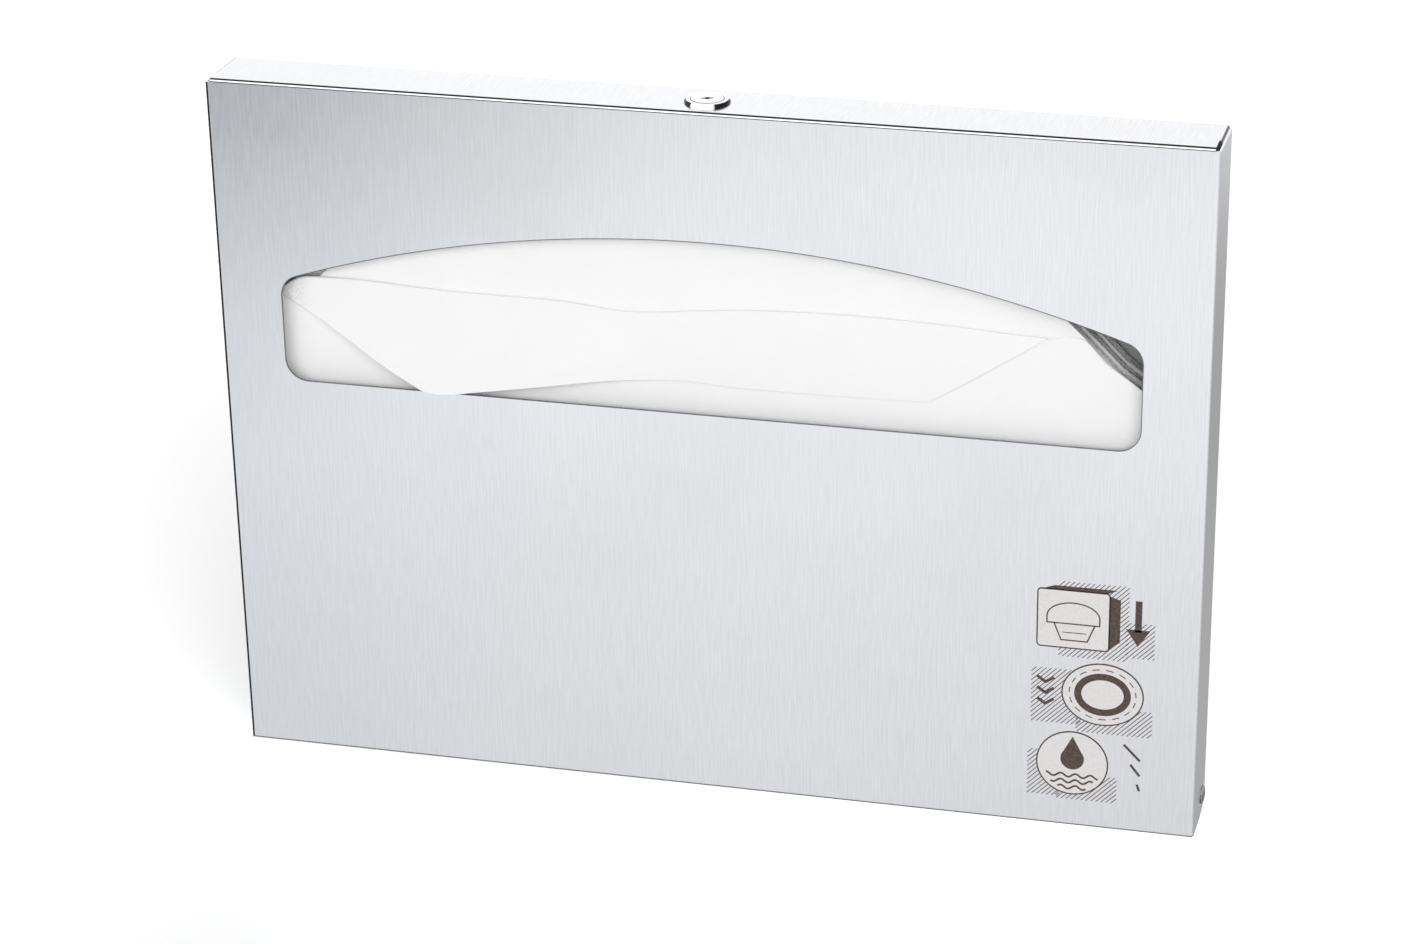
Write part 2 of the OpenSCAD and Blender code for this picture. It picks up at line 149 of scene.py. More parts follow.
def profile(tree, value, stops, top):
    """Level at a value in -1..1 along rows of (value, level), with no level over top."""
    place = ramp(tree, value, -1.0, 1.0, 0.0, 1.0)
    made = add(tree, "ShaderNodeValToRGB", {0: place})
    elements = made.color_ramp.elements
    for index, (at, level) in enumerate(stops):
        element = elements[index] if index < 2 else elements.new(1.0)
        element.position = (at + 1) / 2
        element.color = grey(level / top)
    return times(tree, made.outputs[0], top)


def mix_colour(tree, factor, first, second):
    """Colour between two colours or sockets."""
    made = add(tree, "ShaderNodeMix", data_type="RGBA")
    sockets = made.inputs[0], made.inputs[6], made.inputs[7]
    for socket, value in zip(sockets, (factor, first, second)):
        if isinstance(value, bpy.types.NodeSocket):
            tree.links.new(value, socket)
        else:
            socket.default_value = value
    return made.outputs[2]


def noise_at(tree, vector, scale, detail=3.0, roughness=0.5):
    """Noise level, 0 to 1, at a place."""
    return add(tree, "ShaderNodeTexNoise", {
        "Vector": vector, "Scale": scale, "Detail": detail, "Roughness": roughness}).outputs["Fac"]


def bump(tree, height, distance):
    """Normal of a relief whose full height is a distance in metres."""
    return add(tree, "ShaderNodeBump", {
        "Height": height, "Distance": distance, "Strength": 1.0}).outputs["Normal"]


def scaled(colour, share):
    """Colour made lighter or darker."""
    return tuple(min(1.0, c * share) for c in colour[:3]) + (1.0,)


def grey(level, warmth=0.0):
    """Grey, or slightly warm grey."""
    return (level + warmth, level, level - warmth, 1.0)


# Materials

def facing_parts(tree):
    """The surface's own direction, in the piece's axes."""
    return parts_of(tree, add(tree, "ShaderNodeTexCoord").outputs["Normal"])


def brush_lines(tree, across_scale, along_scale):
    """Noise drawn out along the brushing: upright on the front and sides, front to back on top."""
    x, y, z = parts_of(tree, object_place(tree))
    sideways = math_node(tree, "ABSOLUTE", facing_parts(tree)[0])
    across = plus(tree, x, times(tree, y, sideways))
    along = plus(tree, z, times(tree, y, less(tree, sideways)))
    vector = add(tree, "ShaderNodeCombineXYZ", {
        "X": times(tree, across, across_scale), "Y": times(tree, along, along_scale)}).outputs[0]
    return noise_at(tree, vector, 1.0, detail=2.0)


def between(tree, value, start, full, full_end, end):
    """1 from full to full_end, easing to 0 at start and end."""
    return times(tree, smooth_ramp(tree, value, start, full, 0.0, 1.0),
                 smooth_ramp(tree, value, full_end, end, 1.0, 0.0))


def painted_fold_reflections(tree):
    """Painted reflection: dark lines on the brushed folds, set by the surface's direction: two
    along the top fold, one down the left, one at each end.
    """
    x, y, z = facing_parts(tree)
    forward = under(tree, y, -0.02)
    level = between(tree, x, -0.30, -0.20, 0.20, 0.30)
    rear = between(tree, z, 0.63, 0.73, 0.9960, 0.9990)
    fore = between(tree, z, 0.07, 0.11, 0.23, 0.28)
    top = times(tree, level, larger(tree, rear, fore))
    upright = between(tree, z, -0.20, -0.10, 0.06, 0.10)
    side = times(tree, upright, between(tree, x, -0.995, -0.98, -0.12, -0.06))
    front = times(tree, forward, larger(tree, top, side))
    flat = between(tree, y, -0.20, -0.10, 0.10, 0.20)
    ends = times(tree, flat, between(tree, z, 0.12, 0.22, 0.86, 0.93))
    return larger(tree, front, ends)


def brushed_steel(name, tone, roughness, line_depth, metallic=1.0, folded=False):
    """Satin stainless sheet with fine lines, faint bands and handling smudges."""
    material, tree, shader = new_material(name)
    fine = brush_lines(tree, 1700.0, 30.0)
    broad = brush_lines(tree, 1250.0, 85.0)
    lines = plus(tree, times(tree, fine, 0.4), times(tree, broad, 0.6))
    smudge = noise_at(tree, object_place(tree), 11.0)
    grain = mix_colour(tree, ramp(tree, lines, 0.38, 0.62, 0.0, 1.0),
                       scaled(tone, 0.965), scaled(tone, 1.035))
    film = mix_colour(tree, ramp(tree, smudge, 0.5, 0.75, 0.0, 0.3),
                      grain, scaled(tone, 0.945))
    # Painted reflection: on the folds, dark lines stand in for the dark that the bends mirror
    if folded:
        film = mix_colour(tree, painted_fold_reflections(tree), film, FOLD_REFLECTION_DARK)
    tree.links.new(film, shader.inputs["Base Color"])
    rough = plus(tree, ramp(tree, lines, 0.3, 0.7, -0.012, 0.012),
                 ramp(tree, smudge, 0.35, 0.7, roughness, roughness + 0.03))
    tree.links.new(rough, shader.inputs["Roughness"])
    tree.links.new(bump(tree, lines, line_depth), shader.inputs["Normal"])
    upright = add(tree, "ShaderNodeVectorTransform", {"Vector": (0.0, 0.05, 1.0)},
                  vector_type="VECTOR", convert_from="OBJECT", convert_to="WORLD").outputs[0]
    facing = add(tree, "ShaderNodeNewGeometry").outputs["Normal"]
    sideways = vector_node(tree, "CROSS_PRODUCT", {0: facing, 1: upright}).outputs[0]
    tree.links.new(sideways, shader.inputs["Tangent"])
    shader.inputs["Metallic"].default_value = metallic
    shader.inputs["Anisotropic"].default_value = 0.35
    return material


def plated(name, colour, roughness, grain):
    """Bright plated metal with a fine grain and soft clouds."""
    material, tree, shader = new_material(name)
    spot = object_place(tree)
    speckle = noise_at(tree, spot, 2500.0, detail=2.0)
    cloud = noise_at(tree, spot, 160.0)
    clouds = ramp(tree, cloud, 0.35, 0.65, 0.0, 1.0)
    tree.links.new(mix_colour(tree, clouds, scaled(colour, 0.88), colour),
                   shader.inputs["Base Color"])
    tree.links.new(ramp(tree, speckle, 0.3, 0.7, roughness * 0.7, roughness * 1.4),
                   shader.inputs["Roughness"])
    tree.links.new(bump(tree, speckle, grain), shader.inputs["Normal"])
    shader.inputs["Metallic"].default_value = 1.0
    return material


def lock_metal_painted_shade(name, colour, roughness, grain):
    """Polished chrome, with painted shade in the key hole and round the plug, and a painted dark
    reflection on the rim's two sides.
    """
    material = plated(name, colour, roughness, grain)
    tree = material.node_tree
    shader = tree.nodes["Principled BSDF"]
    clean = shader.inputs["Base Color"].links[0].from_socket
    centred = vector_node(tree, "SUBTRACT", {0: object_place(tree), 1: LOCK_AXIS}).outputs[0]
    flat = vector_node(tree, "MULTIPLY", {0: centred, 1: (1.0, 1.0, 0.0)}).outputs[0]
    radius = vector_node(tree, "LENGTH", {0: flat}).outputs["Value"]
    height = parts_of(tree, centred)[2]
    # Painted shade: dark inside the key hole and in the groove round the plug
    hole = times(tree, under(tree, radius, KEY_HOLE_R), under(tree, height, -KEY_HOLE_TOP))
    from_gap = math_node(tree, "ABSOLUTE", math_node(tree, "SUBTRACT", radius, GAP_R))
    ring = under(tree, from_gap, GAP_HALF)
    # Painted reflection: dark on the rim's two sides, as shares of the direction's level part
    x, y, z = facing_parts(tree)
    level = math_node(tree, "SQRT", math_node(tree, "SUBTRACT", 1.001, times(tree, z, z)))
    sideways = math_node(tree, "DIVIDE", math_node(tree, "ABSOLUTE", x), level)
    rim = times(tree, smooth_ramp(tree, sideways, 0.46, 0.58, 0.0, 1.0),
                smooth_ramp(tree, y, 0.10, 0.25, 1.0, 0.0))
    head = math_node(tree, "GREATER_THAN", height, -HEAD_DEPTH)
    rim_reflection_dark = times(tree, times(tree, rim, head), between(tree, z, -0.50, -0.40, 0.93, 0.97))
    # Painted shade and painted reflection, in one dark tone
    dark = larger(tree, rim_reflection_dark, larger(tree, hole, ring))
    tree.links.new(mix_colour(tree, dark, clean, LOCK_SHADE_DARK), shader.inputs["Base Color"])
    return material


def nylon():
    """Pale moulded nylon with a fine grain."""
    material, tree, shader = new_material("spacer_nylon")
    grain = noise_at(tree, object_place(tree), 1800.0)
    tree.links.new(mix_colour(tree, grain, grey(0.78, 0.01), grey(0.86, 0.01)),
                   shader.inputs["Base Color"])
    tree.links.new(bump(tree, grain, 0.00002), shader.inputs["Normal"])
    shader.inputs["Roughness"].default_value = 0.45
    shader.inputs["Subsurface Weight"].default_value = 0.1
    shader.inputs["Subsurface Radius"].default_value = WHITE_RADIUS
    shader.inputs["Subsurface Scale"].default_value = 0.001
    return material


def tissue(name, light, dark, fibre_depth, translucent):
    """Thin creped paper: fibres, soft clouds and a little light through it."""
    material, tree, shader = new_material(name)
    spot = object_place(tree)
    stretch = add(tree, "ShaderNodeMapping", {"Vector": spot, "Scale": (500.0, 900.0, 1500.0)})
    fibre = noise_at(tree, stretch.outputs[0], 1.0, detail=4.0, roughness=0.6)
    cloud = noise_at(tree, spot, 45.0)
    shade = plus(tree, times(tree, fibre, 0.5), times(tree, cloud, 0.5))
    tree.links.new(mix_colour(tree, ramp(tree, shade, 0.35, 0.65, 0.0, 1.0), dark, light),
                   shader.inputs["Base Color"])
    tree.links.new(bump(tree, fibre, fibre_depth), shader.inputs["Normal"])
    shader.inputs["Roughness"].default_value = 0.85
    shader.inputs["Specular IOR Level"].default_value = 0.25
    shader.inputs["Subsurface Weight"].default_value = translucent
    shader.inputs["Subsurface Radius"].default_value = WHITE_RADIUS
    shader.inputs["Subsurface Scale"].default_value = 0.0008
    return material


def shade_on_left_tip(material):
    """Painted shade: grey specks on the flap's left tip, standing in for the dark seen through the
    thin crumpled sheet.
    """
    tree = material.node_tree
    shader = tree.nodes["Principled BSDF"]
    clean = shader.inputs["Base Color"].links[0].from_socket
    spot = object_place(tree)
    x, y, _ = parts_of(tree, spot)
    near = smooth_ramp(tree, x, *LEFT_TIP_SHADE_X, 1.0, 0.0)
    flap = under(tree, y, SHEET_HI.y - BEND_R * MM)
    speck = ramp(tree, noise_at(tree, spot, 900.0, roughness=0.7), 0.38, 0.62, 0.1, 1.0)
    # Painted shade on the flap's left tip
    tip_shade = times(tree, times(tree, near, flap), speck)
    tree.links.new(mix_colour(tree, tip_shade, clean, LEFT_TIP_SHADE_GREY), shader.inputs["Base Color"])
    return material


def paper_edges_painted_shade():
    """Cut edges of many thin sheets: grey streaks along the sheets, and specks; their darkness is
    partly the edges' own texture and partly painted shade between the sheets.
    """
    material, tree, shader = new_material("pack_edges_painted_shade")
    spot = object_place(tree)
    stretch = add(tree, "ShaderNodeMapping", {"Vector": spot, "Scale": (900.0, 450.0, 900.0)})
    streak = noise_at(tree, stretch.outputs[0], 1.0, detail=4.0, roughness=0.7)
    speck = noise_at(tree, spot, 1400.0, roughness=0.7)
    tone = plus(tree, times(tree, streak, 0.6), times(tree, speck, 0.4))
    # Painted shade: the dark end of the streaks stands in for the shade in the gaps between the
    # sheets
    tree.links.new(ramp(tree, tone, 0.43, 0.57, 0.22, 1.0), shader.inputs["Base Color"])
    tree.links.new(bump(tree, tone, 0.0001), shader.inputs["Normal"])
    shader.inputs["Roughness"].default_value = 0.95
    shader.inputs["Specular IOR Level"].default_value = 0.1
    return material


def printed(name, colour, worn):
    """Screen-printed ink, a little worn."""
    material, tree, shader = new_material(name)
    wear = noise_at(tree, object_place(tree), 900.0)
    tree.links.new(mix_colour(tree, ramp(tree, wear, 0.35, 0.75, 0.0, 1.0), colour, worn),
                   shader.inputs["Base Color"])
    tree.links.new(bump(tree, wear, 0.00001), shader.inputs["Normal"])
    shader.inputs["Roughness"].default_value = 0.5
    return material


# Painted dark tones: dark reflection on the folds, shade and dark reflection on the lock, shade on
# the sheet's left tip; and where they lie on the lock and the sheet
FOLD_REFLECTION_DARK, LOCK_SHADE_DARK, LEFT_TIP_SHADE_GREY = grey(0.02), grey(0.015), grey(0.62)
LOCK_AXIS = ((PLUG_LO.x + PLUG_HI.x) / 2, (PLUG_LO.y + PLUG_HI.y) / 2, PLUG_HI.z)
KEY_HOLE_R, KEY_HOLE_TOP = 2.45 * MM, 0.12 * MM
HEAD_DEPTH = 2.0 * MM
GAP_R, GAP_HALF = 6.82 * MM, 0.17 * MM
LEFT_TIP_SHADE_X = (-0.184, -0.168)

# The drawn sheet's bend and thickness, in millimetres
BEND_R = 0.7
SHEET_T = 0.22

# The cover's steel carries painted reflection: dark lines along its folds
COVER_STEEL = brushed_steel("cover_steel", (0.805, 0.81, 0.835), 0.17, 0.000001, folded=True)
TRAY_STEEL = brushed_steel("tray_steel", (0.70, 0.70, 0.71), 0.36, 0.000003, metallic=0.4)
# Dark tone for the painted edge shade and the cut face's painted reflection
EDGE_PAINTED_DARK = plated("edge_painted_dark", (0.24, 0.24, 0.25, 1.0), 0.35, 0.000002)
# Chrome with painted shade in the key hole and groove, and painted dark reflection on the rim
CHROME_PAINTED_SHADE = lock_metal_painted_shade("lock_chrome", (0.92, 0.92, 0.93, 1.0), 0.05, 0.0000004)
ZINC = plated("zinc_steel", (0.70, 0.71, 0.74, 1.0), 0.30, 0.000006)
# Painted reflection: the rivets' dark tone stands in for the dark surroundings they mirror
RIVET_PAINTED_DARK = plated("rivet_steel", (0.34, 0.34, 0.35, 1.0), 0.12, 0.000002)
NYLON = nylon()
PACK_PAPER = tissue("pack_paper", grey(0.955), (0.93, 0.93, 0.928, 1.0), 0.00002, 0.02)
PACK_EDGES_SHADED = paper_edges_painted_shade()
# The drawn sheet's paper, with painted shade on the flap's left tip
SHEET_PAPER = shade_on_left_tip(tissue("sheet_paper", (0.95, 0.95, 0.956, 1.0),
                                 (0.93, 0.93, 0.936, 1.0), 0.00002, 0.03))
INK = printed("print_ink", (0.050, 0.032, 0.026, 1.0), (0.115, 0.085, 0.075, 1.0))
PALE_INK = printed("print_pale", (0.78, 0.76, 0.755, 1.0), (0.70, 0.68, 0.68, 1.0))

CAD_MATERIALS = {
    "front_cover": COVER_STEEL,
    "wall_tray": TRAY_STEEL,
    "catch_bracket": TRAY_STEEL,
    "lock_housing": CHROME_PAINTED_SHADE,
    "lock_plug": CHROME_PAINTED_SHADE,
    "lock_nut": ZINC,
    "lock_washer": ZINC,
    "lock_cam": ZINC,
    "cam_screw": ZINC,
    "cam_lock_washer": ZINC,
    "hinge_rivet_left": RIVET_PAINTED_DARK,
    "hinge_rivet_right": RIVET_PAINTED_DARK,
    "hinge_spacer_left": NYLON,
    "hinge_spacer_right": NYLON,
}


def dress_cad_nodes():
    """Gives each CAD piece that shows its material."""
    for name, material in CAD_MATERIALS.items():
        piece = frame["nodes"][name]
        piece.data.materials.clear()
        piece.data.materials.append(material)


# Meshes

def new_piece(name, points, faces, material, body):
    """Mesh object that rides on a body of the frame."""
    mesh = bpy.data.meshes.new(name)
    mesh.from_pydata([tuple(p) for p in points], [], faces)
    mesh.validate()
    mesh.update()
    mesh.materials.append(material)
    piece = bpy.data.objects.new(name, mesh)
    bpy.context.scene.collection.objects.link(piece)
    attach(piece, body)
    return piece


def thicken(piece, thickness):
    """Gives a surface its thickness, in millimetres, half to each side."""
    shell = piece.modifiers.new("thickness", "SOLIDIFY")
    shell.thickness = thickness * MM
    shell.offset = 0.0


def curve_at(points, x):
    """Height at x on a smooth curve through a row of (x, height) points."""
    def slope(i):
        before, after = points[max(i - 1, 0)], points[min(i + 1, len(points) - 1)]
        return (after[1] - before[1]) / (after[0] - before[0])
    x = min(max(x, points[0][0]), points[-1][0])
    i = max(k for k in range(len(points) - 1) if points[k][0] <= x)
    (x0, h0), (x1, h1) = points[i], points[i + 1]
    width = x1 - x0
    u = (x - x0) / width
    return ((2 * u ** 3 - 3 * u ** 2 + 1) * h0 + (u ** 3 - 2 * u ** 2 + u) * width * slope(i)
            + (3 * u ** 2 - 2 * u ** 3) * h1 + (u ** 3 - u ** 2) * width * slope(i + 1))


def lerp(a, b, u):
    """Value at a share u of the way from a to b."""
    return a + (b - a) * u


# Drawn sheet: heights over the lower edge, in millimetres, along X
SHEET_CREASE = [(-203, 200), (-192, 204.5), (-184.5, 209.6), (-180, 213), (-174.4, 215.9),
                (-166, 216.4), (-154, 216.6), (-141, 216.2), (-122, 215.1), (-104, 214.6),
                (-85, 214.4), (-61, 214.2), (-48, 213), (-35, 212), (-19, 212.9), (-5, 214.5),
                (20, 216.8), (60, 218), (100, 217), (141, 215), (150, 216.8), (157.6, 215.3),
                (164.9, 207.0), (171.1, 202.8), (183.8, 193.8)]
SHEET_FREE_EDGE = [(-124, 172.6), (-118, 171), (-110, 171.1), (-98, 173), (-61, 179.4),
                   (-42, 181.9), (-19, 183.4), (-5, 183.8), (10, 182.8), (32, 182.7),
                   (60, 182.8), (93.5, 183.3)]
# X of the flap's sides at the crease and at the free edge, and of the standing part's sides
FLAP_LEFT = (-184.5, -122.0)
FLAP_RIGHT = (141.0, 93.5)
STAND_LEFT, STAND_RIGHT = -203.0, 183.8
LEFT_COLUMNS, FLAP_COLUMNS, RIGHT_COLUMNS = 10, 150, 24
STAND_ROWS, BEND_ROWS, FLAP_ROWS = 30, 8, 22
SHEET_BACK_GAP = 0.02       # behind the sheet, to the CAD sheet's back
FLAP_OUT = 0.8              # how far the flap's left part hangs out of the window
FLAP_BULGE = 0.6
SHEET_WAVE = 0.3
TIGHT_FROM, TIGHT_OVER = 40.0, 100.0    # the bend grows tighter to the right
LEAN_FROM, LEAN_OVER = -75.0, 60.0      # the flap hangs out less and less from here on
LEAN_START, LEAN_RUN = 0.2, 0.65        # shares of the flap's height


def unit(value):
    """Value kept in 0..1."""
    return min(1.0, max(0.0, value))


def ease(share):
    """Share 0..1, eased at both ends."""
    return 0.5 - 0.5 * math.cos(math.pi * share)


def flap_point(s, row, low_y, out_y):
    """Point of the bend or flap at a share s of its width and at a row under the standing part."""
    high_x = lerp(FLAP_LEFT[0], FLAP_RIGHT[0], s)
    crease = curve_at(SHEET_CREASE, high_x) - BEND_R
    bend = BEND_R * (1.0 - 0.5 * unit((high_x - TIGHT_FROM) / TIGHT_OVER))
    if row <= BEND_ROWS:
        turn = math.pi * row / BEND_ROWS
        x, z = high_x, crease + BEND_R * math.sin(turn)
        y = low_y - bend * (1 - math.cos(turn))
    else:
        u = (row - BEND_ROWS) / FLAP_ROWS
        low_x = lerp(FLAP_LEFT[1], FLAP_RIGHT[1], s)
        x = lerp(high_x, low_x, u)
        z = lerp(crease, curve_at(SHEET_FREE_EDGE, low_x), u)
        lean = 1.0 - ease(unit((x - LEAN_FROM) / LEAN_OVER))
        y = low_y - 2 * bend - FLAP_BULGE * math.sin(math.pi * u)
        y = lerp(y, out_y, lean * ease(min(1.0, max(0.0, u - LEAN_START) / LEAN_RUN)))
    wave = noise.noise(Vector((x * 0.018, z * 0.03, 0.0)))
    y += SHEET_WAVE * wave * row / (BEND_ROWS + FLAP_ROWS)
    return x * MM, y * MM, z * MM + FLOOR_Z


def drawn_sheet():
    """The first seat cover: it stands in the tray, folds over and hangs out of the window."""
    low_z = (SHEET_LO.z - FLOOR_Z) / MM
    low_y = SHEET_HI.y / MM - SHEET_T / 2 - SHEET_BACK_GAP
    out_y = FRONT_Y / MM - FLAP_OUT
    left, right = FLAP_LEFT[0], FLAP_RIGHT[0]
    stand_x = ([lerp(STAND_LEFT, left, i / LEFT_COLUMNS) for i in range(LEFT_COLUMNS)]
               + [lerp(left, right, i / FLAP_COLUMNS) for i in range(FLAP_COLUMNS)]
               + [lerp(right, STAND_RIGHT, i / RIGHT_COLUMNS) for i in range(RIGHT_COLUMNS + 1)])
    points, faces = [], []
    for row in range(STAND_ROWS + 1):
        for x in stand_x:
            top = curve_at(SHEET_CREASE, x) - BEND_R
            z = lerp(low_z, top, row / STAND_ROWS)
            points.append((x * MM, low_y * MM, z * MM + FLOOR_Z))
    width = len(stand_x)
    for row in range(STAND_ROWS):
        for column in range(width - 1):
            a = row * width + column
            faces.append((a, a + 1, a + width + 1, a + width))
    before = [STAND_ROWS * width + LEFT_COLUMNS + column for column in range(FLAP_COLUMNS + 1)]
    for row in range(1, BEND_ROWS + FLAP_ROWS + 1):
        line = []
        for column in range(FLAP_COLUMNS + 1):
            line.append(len(points))
            points.append(flap_point(column / FLAP_COLUMNS, row, low_y, out_y))
        for column in range(FLAP_COLUMNS):
            faces.append((before[column], before[column + 1], line[column + 1], line[column]))
        before = line
    piece = new_piece("drawn_paper", points, faces, SHEET_PAPER, "tray")
    piece.data.shade_smooth()
    thicken(piece, SHEET_T)
    crisp = piece.modifiers.new("crisp_rim", "EDGE_SPLIT")
    crisp.split_angle = math.radians(40.0)
    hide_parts("drawn_sheet")


# Pack: layers in bundles, the front ones dragged along by the drawn sheet
LAYERS = 84
BUNDLES = 9
LAYER_SHARE = 0.86          # of a layer's room that its paper fills
CLIP = 75.0 * MM
DRAGGED = 2
DRAG_X, DRAG_Z = -5.3 * MM, 4.0 * MM
DRAG_END = 5.2
LOOSE_OVER = 12.0           # layers over which the slip grows
BUNDLE_SLIP, LAYER_SLIP = 0.45 * MM, 0.12 * MM
CLIP_RIPPLE = 0.12
# By bundle, in millimetres: more or less clip, and how far the corner stands up at the side
CLIP_STEPS = [0.9, 0.6, 0.8, -1.1, 0.2, -0.1, -1.5, -1.4, -1.6]
END_STEPS = [1.5, 2.5, 3.5, 5.0, 4.0, 4.5, 5.0, 3.0, 3.5]
# The layers from here on reach further into the left corner
LEFT_FROM, LEFT_REACH = 14, 20.0 * MM
SIDE_SLOPE = 0.62
SAG, DRAGGED_SAG = 1.3, 2.6


def clipped_corner(side, half, top, clip, sag, end):
    """Upper right corner of a seat cover, from its side to its top, bent outward at the side."""
    return [(side, top - clip + end - SIDE_SLOPE * (side - half)),
            (half - clip * 0.17, top - clip * 0.83 + 0.5 * sag + 0.13 * end),
            (half - clip * 0.3, top - clip * 0.7 + sag),
            (half - clip * 0.65, top - clip * 0.35 + 0.4 * sag),
            (half - clip, top)]


def sheet_outline(slip, clip, end, left_reach, drag):
    """Outline of one half-folded seat cover in X and Z, its upper corners clipped."""
    half = PACK_HI.x
    top = PACK_HI.z - slip + DRAG_Z * drag
    shift = DRAG_X * drag
    sag = lerp(SAG, DRAGGED_SAG, drag) * MM
    right = clipped_corner(half, half + shift, top, clip, sag, end)
    mirrored = clipped_corner(half - shift, half - shift, top, clip - left_reach, sag, end)
    left = [(-x, z) for x, z in reversed(mirrored)]
    return [(-half + shift, PACK_LO.z), (half, PACK_LO.z)] + right + left


def paper_stack():
    """The pack as thin layers, slipped a little against each other within their bundles."""
    points, faces, kinds = [], [], []      # kinds: 0 paper, 1 cut edge
    thick = (PACK_HI.y - PACK_LO.y) / LAYERS
    for layer in range(LAYERS):
        bundle = layer * BUNDLES // LAYERS
        drag = max(0.0, 1.0 - layer / DRAGGED)
        loose = min(1.0, layer / LOOSE_OVER)
        slip = loose * (BUNDLE_SLIP * (1 + math.sin(bundle * 2.4 + 0.8))
                        + LAYER_SLIP * (1 + math.sin(layer * 1.9)))
        more_clip = CLIP_STEPS[bundle] + CLIP_RIPPLE * math.cos(layer * 2.3)
        clip = CLIP + more_clip * MM * (1.0 - drag)
        end = lerp(END_STEPS[bundle], DRAG_END, drag) * MM
        reach = LEFT_REACH if layer >= LEFT_FROM else 0.0
        outline = sheet_outline(slip, clip, end, reach, drag)
        y0 = PACK_LO.y + layer * thick
        y1 = y0 + thick * LAYER_SHARE
        base = len(points)
        points += [(x, y0, z) for x, z in outline] + [(x, y1, z) for x, z in outline]
        n = len(outline)
        faces.append(tuple(range(base, base + n)))
        faces.append(tuple(range(base + 2 * n - 1, base + n - 1, -1)))
        kinds += [0, 0]
        for i in range(n):
            j = (i + 1) % n
            faces.append((base + j, base + i, base + n + i, base + n + j))
            kinds.append(1)
    piece = new_piece("paper_stack", points, faces, PACK_PAPER, "tray")
    piece.data.materials.append(PACK_EDGES_SHADED)
    for face, kind in zip(piece.data.polygons, kinds):
        face.material_index = kind
    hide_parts("seat_cover_pack")


# Painted shade: a narrow dark line round the window and along the cover's lower edge, and
# the window's cut face painted dark as reflection, in millimetres over the lower edge
WINDOW_LOW, WINDOW_HIGH = 171.4, 246.4
WINDOW_HALF, WINDOW_R, ARCH_R = 181.5, 9.5, 550.0
EDGE_W, LOWER_EDGE_W = 0.38, 0.55
EDGE_LIFT = 0.01
EDGE_SKIN = 0.03
LOWER_EDGE_IN = 0.5
STEEL_T = 0.9
CORNER_STEPS, ARCH_STEPS = 12, 90


def window_line():
    """The window's outline in X and Z, anticlockwise from its lower right corner."""
    side = WINDOW_HALF - WINDOW_R
    arch_z = WINDOW_HIGH - ARCH_R
    shoulder = arch_z + math.sqrt((ARCH_R - WINDOW_R) ** 2 - side ** 2)
    tilt = math.degrees(math.asin(side / (ARCH_R - WINDOW_R)))
    low = WINDOW_LOW + WINDOW_R
    return (arc(side, low, WINDOW_R, WINDOW_R, -90, 0, CORNER_STEPS)
            + arc(side, shoulder, WINDOW_R, WINDOW_R, 0, 90 - tilt, CORNER_STEPS)
            + arc(0, arch_z, ARCH_R, ARCH_R, 90 - tilt, 90 + tilt, ARCH_STEPS)[1:-1]
            + arc(-side, shoulder, WINDOW_R, WINDOW_R, 90 + tilt, 180, CORNER_STEPS)
            + arc(-side, low, WINDOW_R, WINDOW_R, 180, 270, CORNER_STEPS))


def edge_lines_painted_shade():
    """Painted shade: dark lines on the front round the window and along the lower edge; and the
    window's cut face through the sheet, painted dark as reflection.
    """
    line = window_line()
    lines = Print(EDGE_LIFT)
    lines.line(line, EDGE_W, closed=True)
    end = COVER_HI.x / MM - LOWER_EDGE_IN
    lines.line([(-end, LOWER_EDGE_W / 2), (end, LOWER_EDGE_W / 2)], LOWER_EDGE_W)
    lines.finish("edge_lines_painted_shade", EDGE_PAINTED_DARK, "cover_steel")
    points, faces = [], []
    for i, (x, z) in enumerate(line):
        before, after = line[i - 1], line[(i + 1) % len(line)]
        run = Vector((after[0] - before[0], after[1] - before[1])).normalized()
        for depth in (0.0, STEEL_T):
            points.append(((x - run.y * EDGE_SKIN) * MM, FRONT_Y + depth * MM,
                           (z + run.x * EDGE_SKIN) * MM + FLOOR_Z))
        j = (i + 1) % len(line)
        faces.append((2 * i, 2 * j, 2 * j + 1, 2 * i + 1))
    face = new_piece("window_cut_face", points, faces, EDGE_PAINTED_DARK, "cover")
    thicken(face, EDGE_SKIN)


# Printed picture: three signs over each other, in millimetres over the lower edge
PRINT_LIFT = 0.03
PRINT_T = 0.02
LINE = 0.6
SHARP = 0.4                 # least share that a line's corner is widened by
HATCHED = [(150, 78, 179, 112), (178, 80, 190, 96), (139, 47, 160, 72), (158, 44, 190, 56),
           (138, 13, 152, 34), (150, 12, 176, 24)]
HATCH_GAP, HATCH_W, HATCH_LEAST = 2.1, 0.34, 0.4


